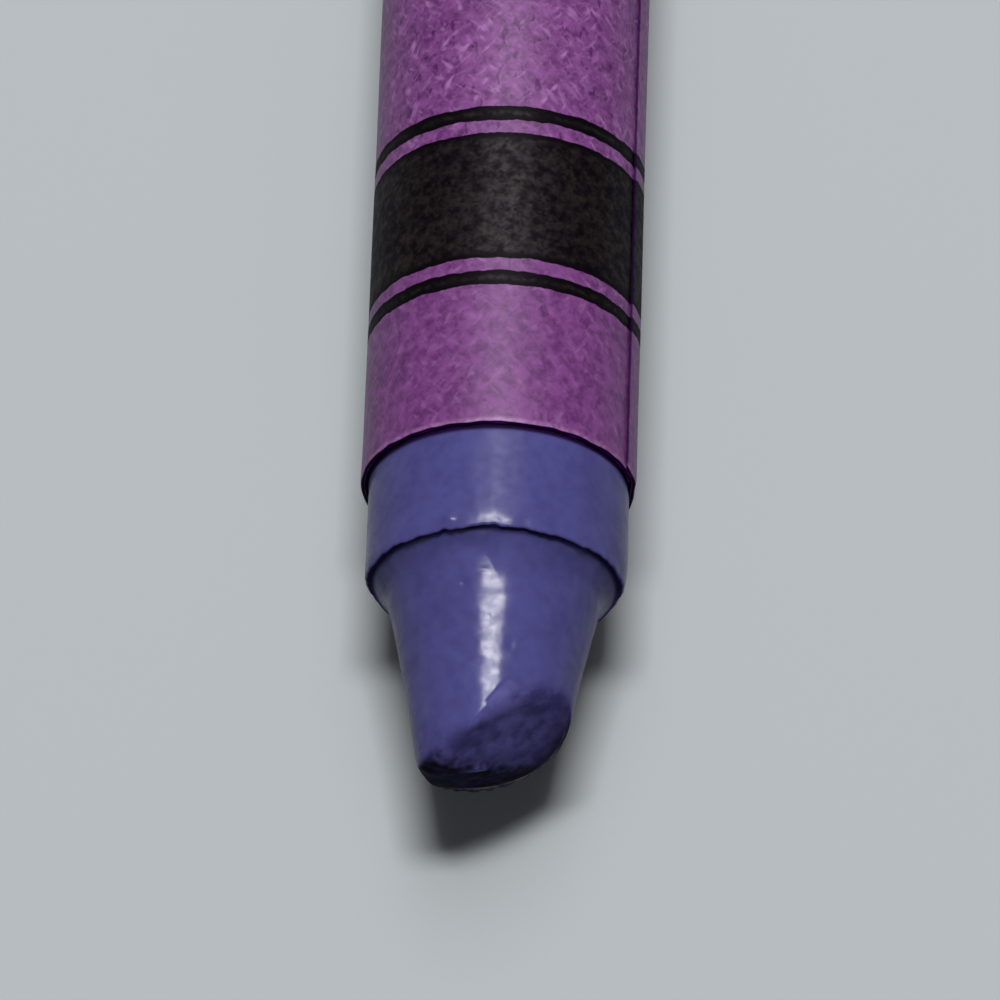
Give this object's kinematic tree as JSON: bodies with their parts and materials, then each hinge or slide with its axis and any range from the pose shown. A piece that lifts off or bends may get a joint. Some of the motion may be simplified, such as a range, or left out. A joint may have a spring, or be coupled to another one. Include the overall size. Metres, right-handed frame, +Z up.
{
  "type": "wax crayon",
  "caption": "Wax crayon with a slanted worn point and a wrapped paper label, lying on its side.",
  "frame": {"origin": "on the ground below the crayon's axis, midway between the flat base and the furthest point of the tip", "axes": "+Y along the crayon from the worn point to the flat base, +Z up, +X to the right when looking at the point from the front"},
  "size_m": [0.0084, 0.0886, 0.0083],
  "materials": {
    "wax": "pigmented paraffin wax, satin, worn dull at the point",
    "label_paper": "uncoated dyed paper, matte, with fibres and printed rings",
    "paste": "dried starch paste, dull"
  },
  "bodies": {
    "root": {"wax_stick": "wax", "paper_label": "label_paper", "label_paste": "paste"}
  },
  "joints": []
}
